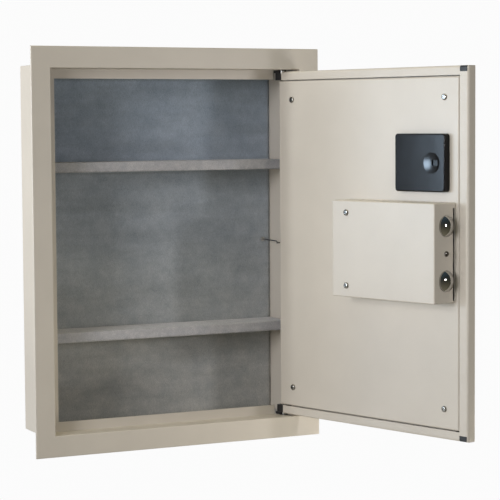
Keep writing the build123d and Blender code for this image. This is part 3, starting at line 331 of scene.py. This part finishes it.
def dress_frame():
    """Every CAD node takes the material of its slot in the record, or the one OWN_MATERIAL names for it.
    """
    for part in frame["record"]["subparts"]:
        node = NODES[part["node"]]
        chosen = OWN_MATERIAL.get(part["node"], part["material_slot"])
        node.data.materials.clear()
        node.data.materials.append(MATERIALS[chosen])


# ---------------------------------------------------------------- geometry helpers
def reach(node, direction):
    """How far a CAD node reaches along a direction of the row frame."""
    return max(vertex.co.dot(direction) for vertex in NODES[node].data.vertices)


def add_object(name, data):
    """An object made of data, in the scene."""
    added = bpy.data.objects.new(name, data)
    bpy.context.scene.collection.objects.link(added)
    return added


def mesh_of(curve_object):
    """The mesh that a curve or a text makes. The object itself is removed."""
    bpy.context.view_layer.update()
    mesh = bpy.data.meshes.new_from_object(curve_object)
    bpy.data.objects.remove(curve_object)
    return mesh


def dressed(name, mesh, material):
    """A mesh piece in one material."""
    mesh.materials.clear()
    mesh.materials.append(MATERIALS[material])
    return add_object(name, mesh)


def housing_piece(name, build, material):
    """A smooth piece made by build(bmesh), in the row frame, riding on the housing, in the
    given material."""
    mesh = bpy.data.meshes.new(name)
    shape = bmesh.new()
    build(shape)
    bmesh.ops.recalc_face_normals(shape, faces=shape.faces)
    shape.to_mesh(mesh)
    shape.free()
    for face in mesh.polygons:
        face.use_smooth = True
    piece = dressed(name, mesh, material)
    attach(piece, "housing")
    return piece


# Felt is modelled in cells of this size. It thins by this share over this distance from its
# edges, and has this many lumps a metre.
CLOTH_CELL = 4 * MM
CLOTH_EDGE, CLOTH_EDGE_DROP = 5 * MM, 0.35
BROAD_LUMPS, FINE_LUMPS = 28, 90


def even_places(low, high, step=CLOTH_CELL):
    """Even places from low to high, about step apart."""
    count = max(1, round((high - low) / step))
    return [low + (high - low) * index / count for index in range(count + 1)]


def cloth(shape, places, path, thickness, ripple, seed, holds=lambda place, point: True):
    """A closed felt sheet: path is its section as points and outward normals, repeated at
    the places across X. Cells whose middle holds() refuses are left out."""
    rows = (len(places) - 1, len(path) - 1)
    layers = []
    for level in (0, 1):
        grid = []
        for place in places:
            row = []
            for point, normal in path:
                point = Vector((place, point.y, point.z))
                height = 0.0
                if level:
                    margin = min(place - places[0], places[-1] - place)
                    margin = min(margin, (point - path[0][0]).yz.length, (point - path[-1][0]).yz.length)
                    drop = max(0.0, 1 - margin / CLOTH_EDGE)
                    lump = noise.noise(point * BROAD_LUMPS + Vector((seed, 0, 0)))
                    lump += 0.5 * noise.noise(point * FINE_LUMPS + Vector((0, seed, 0)))
                    height = thickness * (1 - CLOTH_EDGE_DROP * drop * drop)
                    height -= ripple * (0.5 - 0.5 * lump)
                row.append(shape.verts.new(point + normal * height))
            grid.append(row)
        layers.append(grid)

    def kept(a, b):
        if not (0 <= a < rows[0] and 0 <= b < rows[1]):
            return False
        return holds((places[a] + places[a + 1]) / 2, (path[b][0] + path[b + 1][0]) / 2)

    low, top = layers
    for a in range(rows[0]):
        for b in range(rows[1]):
            if not kept(a, b):
                continue
            ring = [(a, b), (a + 1, b), (a + 1, b + 1), (a, b + 1)]
            shape.faces.new([top[i][j] for i, j in ring])
            shape.faces.new([low[i][j] for i, j in reversed(ring)])
            beyond = [(a, b - 1), (a + 1, b), (a, b + 1), (a - 1, b)]
            for near, first, second in zip(beyond, ring, ring[1:] + ring[:1]):
                if not kept(*near):
                    corners = [low[first[0]][first[1]], low[second[0]][second[1]]]
                    shape.faces.new(corners + [top[second[0]][second[1]], top[first[0]][first[1]]])
    bmesh.ops.remove_doubles(shape, verts=shape.verts, dist=1e-7)
    bmesh.ops.dissolve_degenerate(shape, edges=shape.edges, dist=1e-7)


# ---------------------------------------------------------------- pieces
def back_lining():
    """Felt stretched over the back wall."""
    low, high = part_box("felt_back")

    def build(shape):
        path = [(Vector((0, high.y, z)), Vector((0, -1, 0))) for z in even_places(low.z, high.z)]
        cloth(shape, even_places(low.x, high.x), path, high.y - low.y, 0.5 * MM, 3.0)

    lining = housing_piece("back_lining", build, "felt")
    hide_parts("felt_back")


FLOOR_NOTCH = (147 * MM, 38 * MM)


def floor_lining():
    """Felt glued on the floor, cut away at its front right corner round the hinge."""
    low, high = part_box("felt_floor")
    notch_x, notch_y = FLOOR_NOTCH

    def build(shape):
        places = even_places(low.x, notch_x) + even_places(notch_x, high.x)[1:]
        depths = even_places(low.y, notch_y) + even_places(notch_y, high.y)[1:]
        path = [(Vector((0, y, low.z)), Vector((0, 0, 1))) for y in depths]
        cloth(shape, places, path, high.z - low.z, 0.25 * MM, 7.0,
              lambda place, point: place < notch_x or point.y > notch_y)

    lining = housing_piece("floor_lining", build, "felt")
    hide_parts("felt_floor")


def shelf_covers():
    """Felt glued over each shelf and down the front of its lip, round the shelf's front edge."""
    felt_low, felt_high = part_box("shelf_felts")
    for index, shelf in enumerate(("upper_shelf", "lower_shelf")):
        low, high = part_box(shelf)
        thick = low.y - felt_low.y
        forward, up = Vector((0, -1, 0)), Vector((0, 0, 1))
        lip = [(Vector((0, low.y, z)), forward) for z in even_places(low.z + thick, high.z, 2 * MM)]
        nose = [
            (Vector((0, low.y, high.z)), forward * math.cos(turn) + up * math.sin(turn))
            for turn in even_places(0, math.pi / 2, 0.4)[1:-1]
        ]
        flat = [(Vector((0, y, high.z)), up) for y in even_places(low.y, felt_high.y)]

        def build(shape):
            places = even_places(felt_low.x, felt_high.x)
            cloth(shape, places, lip + nose + flat, thick, 0.3 * MM, 11.0 + index)

        cover = housing_piece(shelf + "_cover", build, "shelf_felt")
        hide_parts("shelf_felts")


# The stay wire's route in millimetres, from the back of the safe to its hook in the door's slot.
WIRE_POINTS = (
    (165.0, 94.45, 1.4), (161.2, 70.0, 1.7), (157.4, 46.0, 2.0), (155.0, 31.0, 2.2),
    (148.0, 18.4, 0.8), (147.7, 18.5, 0.8), (153.6, 20.2, 0.8),
)
WIRE_R, WIRE_ORDER, WIRE_STEPS = 0.8, 3, 6


def stay_rod():
    """The bent stay wire and its hook, fixed in the row frame."""
    curve = bpy.data.curves.new("stay_rod", "CURVE")
    curve.dimensions = "3D"
    curve.bevel_depth = WIRE_R * MM
    curve.bevel_resolution = 3
    curve.use_fill_caps = True
    line = curve.splines.new("NURBS")
    line.points.add(len(WIRE_POINTS) - 1)
    for point, place in zip(line.points, WIRE_POINTS):
        point.co = (*(MM * value for value in place), 1)
    line.use_endpoint_u = True
    line.order_u = WIRE_ORDER
    line.resolution_u = WIRE_STEPS
    piece = dressed("stay_rod", mesh_of(add_object("stay_rod_curve", curve)), "spring_steel")
    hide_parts("stay_wire")
    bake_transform(piece)


LEGEND_SIZE, LEGEND_RELIEF = 7.5 * MM, 0.05 * MM


def label_keys():
    """Plain white legends, one on each key."""
    legends = {"enter": "#", "clear": "*"}
    outward = -INWARD
    for body in frame["bodies"]:
        if not body.startswith("key_"):
            continue
        name = body.removeprefix("key_")
        low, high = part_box(body)
        centre = (low + high) / 2
        face = reach(body, outward)
        text = bpy.data.curves.new("legend_" + name, "FONT")
        text.body = legends.get(name, name)
        text.size = LEGEND_SIZE
        text.extrude = LEGEND_RELIEF
        text.align_x = "CENTER"
        text.align_y = "CENTER"
        letter = add_object("legend_" + name, text)
        spot = centre + outward * (face - centre.dot(outward))
        turn = Matrix((-ALONG, UP, outward)).transposed().to_4x4()
        mesh = mesh_of(letter)
        mesh.transform(Matrix.Translation(spot) @ turn)
        piece = dressed("legend_" + name, mesh, "legend_paint")
        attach(piece, body)


# ---------------------------------------------------------------- stage
CAMERA_PLACE = Vector((-0.95984, -2.17577, 0.16029))
CAMERA_YAW, CAMERA_PITCH, CAMERA_ROLL = 0.45297, 0.06856, -0.00656
CAMERA_LENS = 133.29


def place_camera():
    """Yaw is from +Y towards +X, pitch is downwards, roll is about the line of sight."""
    turn = Matrix.Rotation(-CAMERA_YAW, 4, "Z") @ Matrix.Rotation(math.pi / 2 - CAMERA_PITCH, 4, "X")
    turn = turn @ Matrix.Rotation(CAMERA_ROLL, 4, "Z")
    data = bpy.data.cameras.new("camera")
    data.lens = CAMERA_LENS
    camera = add_object("camera", data)
    camera.matrix_world = Matrix.Translation(CAMERA_PLACE) @ turn
    bpy.context.scene.camera = camera


def place_light(name, kind, place, target, power, color):
    """A light at place, aimed at target, that the camera can't see."""
    data = bpy.data.lights.new(name, kind)
    data.energy = power
    data.color = color
    light = add_object(name, data)
    aim = Vector(target) - Vector(place)
    light.matrix_world = Matrix.Translation(place) @ aim.to_track_quat("-Z", "Y").to_matrix().to_4x4()
    light.visible_camera = False
    return data


def softbox(name, place, target, size, power, color):
    """A rectangular lamp, size metres wide and high."""
    data = place_light(name, "AREA", place, target, power, color)
    data.shape = "RECTANGLE"
    data.size, data.size_y = size


# Each glow of the world: its axis, how tightly it keeps to it, strength and colour.
WORLD_GLOWS = (
    ((-0.8, 0.6, 0), 3, 0.90, (0.99, 1.0, 1.0)),
    ((0, 0, 1), 4, 0.15, (0.50, 0.78, 1.0)),
    ((0, 0, -1), 2, 0.24, (1.0, 0.92, 0.66)),
)
# Each soft box: place, target, width and height, power and colour.
SOFTBOXES = {
    "fill_left": ((-2.3, -1.25, 0.5), (0, 0, 0), (0.9, 0.9), 28, (1.0, 0.98, 1.0)),
    "strip_low": ((0.68, -1.39, 0.12), (0, 0, 0), (0.05, 0.05), 1.75, (1.0, 0.97, 0.98)),
    "strip_high": ((0.68, -1.39, 0.24), (0, 0, 0), (0.05, 0.05), 1.75, (1.0, 0.97, 0.98)),
    "kicker": ((0.55, -0.25, -0.45), (0.19, 0, -0.2), (0.2, 0.2), 1.9, (1.0, 0.95, 0.85)),
    "overhead": ((0.1, -0.5, 1.9), (0.1, -0.1, 0), (1.0, 1.0), 9, (1.0, 0.88, 0.55)),
    "reflector": ((-1.86, 0.39, 0.10), (0.22, -0.23, 0.1), (0.40, 0.26), 15, (0.62, 0.80, 1.0)),
}
# These are only seen in reflections.
GLOSS_ONLY = ("reflector",)
BACKDROP = (0.97, 0.97, 0.97, 1)
# The key is a small spot nearly in the plane of the wall.
KEY_PLACE, KEY_TARGET, KEY_POWER = (-2.6, -0.0085, 0.32), (0.19, -0.03, 0.22), 59
KEY_COLOR, KEY_CONE, KEY_RADIUS = (0.97, 1.0, 1.0), math.radians(22), 0.07


def glow_strength(tree, axis, power, strength):
    """A world strength that falls off away from axis."""
    spread = tree.nodes.new("ShaderNodeVectorMath")
    spread.operation = "DOT_PRODUCT"
    spread.inputs[1].default_value = axis
    direction = tree.nodes.new("ShaderNodeTexCoord").outputs["Generated"]
    tree.links.new(direction, spread.inputs[0])
    value = tree.nodes.new("ShaderNodeMapRange")
    value.inputs["From Min"].default_value = -1
    tree.links.new(spread.outputs["Value"], value.inputs["Value"])
    shaped = tree.nodes.new("ShaderNodeMath")
    shaped.operation = "POWER"
    shaped.inputs[1].default_value = power
    tree.links.new(value.outputs["Result"], shaped.inputs[0])
    scaled = tree.nodes.new("ShaderNodeMath")
    scaled.operation = "MULTIPLY"
    scaled.inputs[1].default_value = strength
    tree.links.new(shaped.outputs["Value"], scaled.inputs[0])
    return scaled.outputs["Value"]


def studio_world():
    """White to the camera, and the sum of the glows as a light."""
    world = bpy.data.worlds.new("studio")
    bpy.context.scene.world = world
    world.use_nodes = True
    tree = world.node_tree
    total = None
    for axis, power, strength, color in WORLD_GLOWS:
        glow = tree.nodes.new("ShaderNodeBackground")
        glow.inputs["Color"].default_value = (*color, 1)
        tree.links.new(glow_strength(tree, axis, power, strength), glow.inputs["Strength"])
        if total:
            both = tree.nodes.new("ShaderNodeAddShader")
            tree.links.new(total, both.inputs[0])
            tree.links.new(glow.outputs["Background"], both.inputs[1])
            total = both.outputs["Shader"]
        else:
            total = glow.outputs["Background"]
    seen = tree.nodes["Background"]
    seen.inputs["Color"].default_value = BACKDROP
    ray = tree.nodes.new("ShaderNodeLightPath")
    mix = tree.nodes.new("ShaderNodeMixShader")
    tree.links.new(ray.outputs["Is Camera Ray"], mix.inputs[0])
    tree.links.new(total, mix.inputs[1])
    tree.links.new(seen.outputs["Background"], mix.inputs[2])
    tree.links.new(mix.outputs["Shader"], tree.nodes["World Output"].inputs["Surface"])


def light_stage():
    """A small key from the left in the plane of the wall, and soft boxes round the safe."""
    studio_world()
    key = place_light("key_left", "SPOT", KEY_PLACE, KEY_TARGET, KEY_POWER, KEY_COLOR)
    key.shadow_soft_size = KEY_RADIUS
    key.spot_size = KEY_CONE
    key.spot_blend = 1.0
    for name, settings in SOFTBOXES.items():
        softbox(name, *settings)
    for name in GLOSS_ONLY:
        bpy.data.objects[name].visible_diffuse = False
    bpy.context.scene.view_settings.view_transform = "Standard"


FLOOR_Z, FLOOR_HALF = -1.25, 2.2


def lay_floor():
    """The pale floor under the wall that the safe hangs in. It lights nothing itself."""
    corners = [(-FLOOR_HALF, -FLOOR_HALF), (FLOOR_HALF, -FLOOR_HALF)]
    corners += [(FLOOR_HALF, FLOOR_HALF), (-FLOOR_HALF, FLOOR_HALF)]
    mesh = bpy.data.meshes.new("floor")
    mesh.from_pydata([(x, y, FLOOR_Z) for x, y in corners], [], [(0, 1, 2, 3)])
    floor = add_object("floor", mesh)
    pale = Shader("floor", (0.85, 0.85, 0.85), 0.6, Emission_Strength=0.62)
    mesh.materials.append(pale.material)
    floor.visible_diffuse = False
    floor.visible_glossy = False


place_camera()
light_stage()
lay_floor()
dress_frame()
back_lining()
floor_lining()
shelf_covers()
stay_rod()
label_keys()
